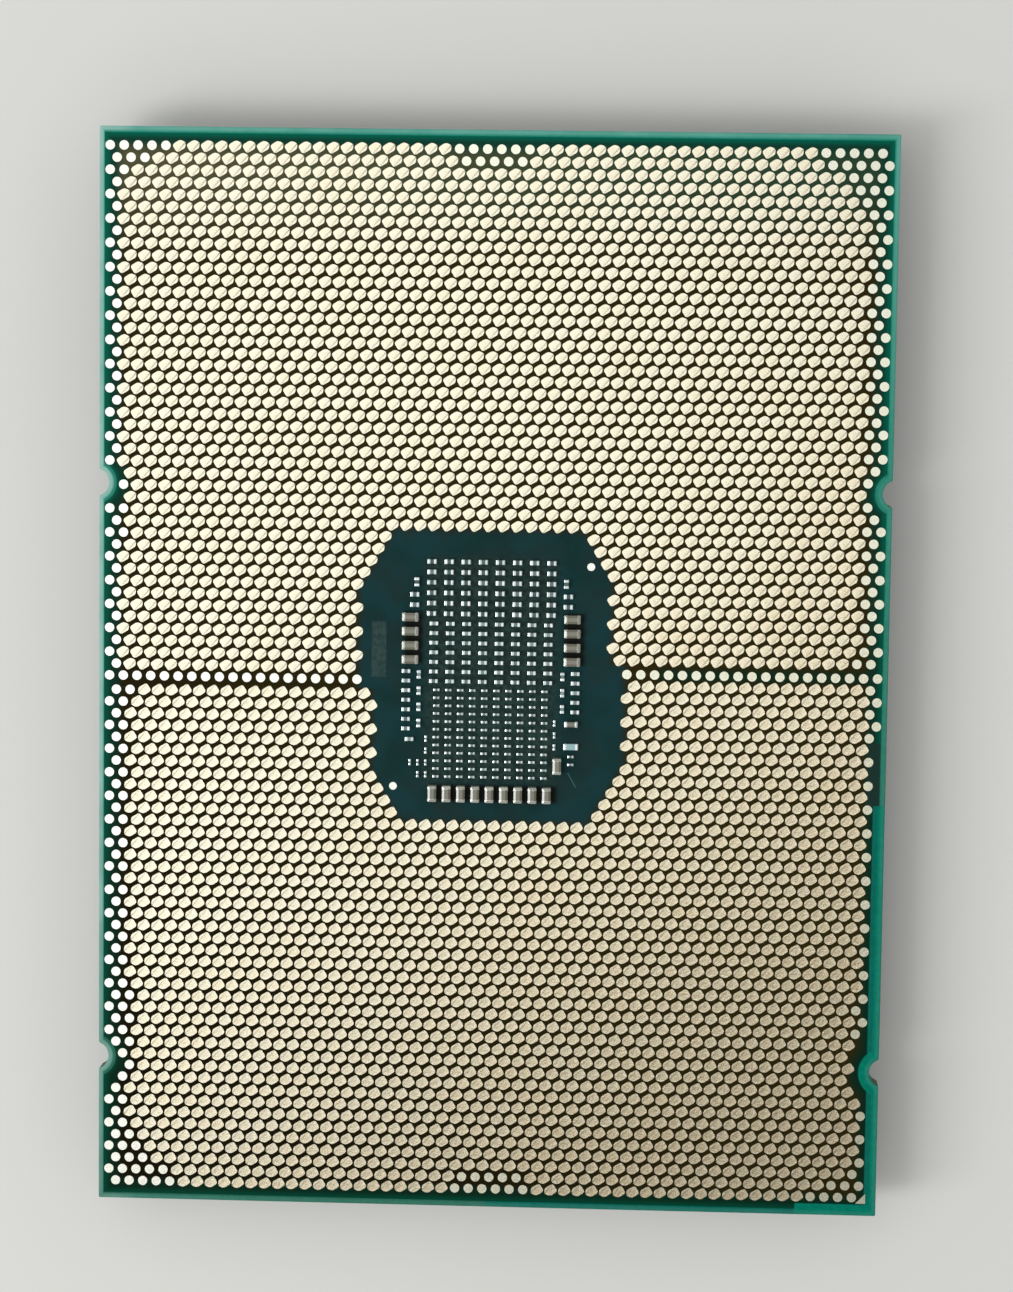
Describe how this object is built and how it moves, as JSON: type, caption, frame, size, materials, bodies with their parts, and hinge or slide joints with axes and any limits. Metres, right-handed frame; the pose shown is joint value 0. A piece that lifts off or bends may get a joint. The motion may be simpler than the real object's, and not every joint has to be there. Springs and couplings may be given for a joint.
{
  "type": "server processor",
  "caption": "Rectangular land-grid processor package: laminate with contact lands and small chips on one side, stepped metal lid on the other, and key notches in its long edges.",
  "frame": {"origin": "middle of the heat spreader's outer face, on which the part lies", "axes": "+Z out of the land side, +Y along the long side towards the upper pair of notches, +X along the short side"},
  "size_m": [0.0564, 0.0776, 0.006],
  "materials": {
    "laminate": "green solder mask, satin",
    "land_gold": "pale gold plate, satin",
    "chip_ceramic": "matt",
    "resistor_ceramic": "satin",
    "chip_tin": "matt tin plate",
    "solder": "bright solder",
    "lid_nickel": "satin nickel plate on copper",
    "sealant": "matt",
    "silicon": "polished",
    "underfill": "matt resin"
  },
  "bodies": {
    "root": {"package_substrate": "laminate", "upper_lands": "land_gold", "lower_lands": "land_gold", "round_lands": "land_gold", "corner_marker_land": "land_gold", "fiducial_marks": "land_gold", "large_capacitor_bodies": "chip_ceramic", "large_capacitor_ends": "chip_tin", "medium_capacitor_body": "chip_ceramic", "medium_capacitor_ends": "chip_tin", "chip_resistor_body": "resistor_ceramic", "chip_resistor_ends": "chip_tin", "small_capacitor_bodies": "chip_ceramic", "small_capacitor_ends": "chip_tin", "slim_capacitor_bodies": "chip_ceramic", "slim_capacitor_ends": "chip_tin", "tiny_capacitor_bodies": "chip_ceramic", "tiny_capacitor_ends": "chip_tin", "solder_fillets": "solder", "heat_spreader": "lid_nickel", "lid_sealant": "sealant", "die_interface": "solder", "silicon_die": "silicon", "die_underfill": "underfill"}
  },
  "joints": []
}
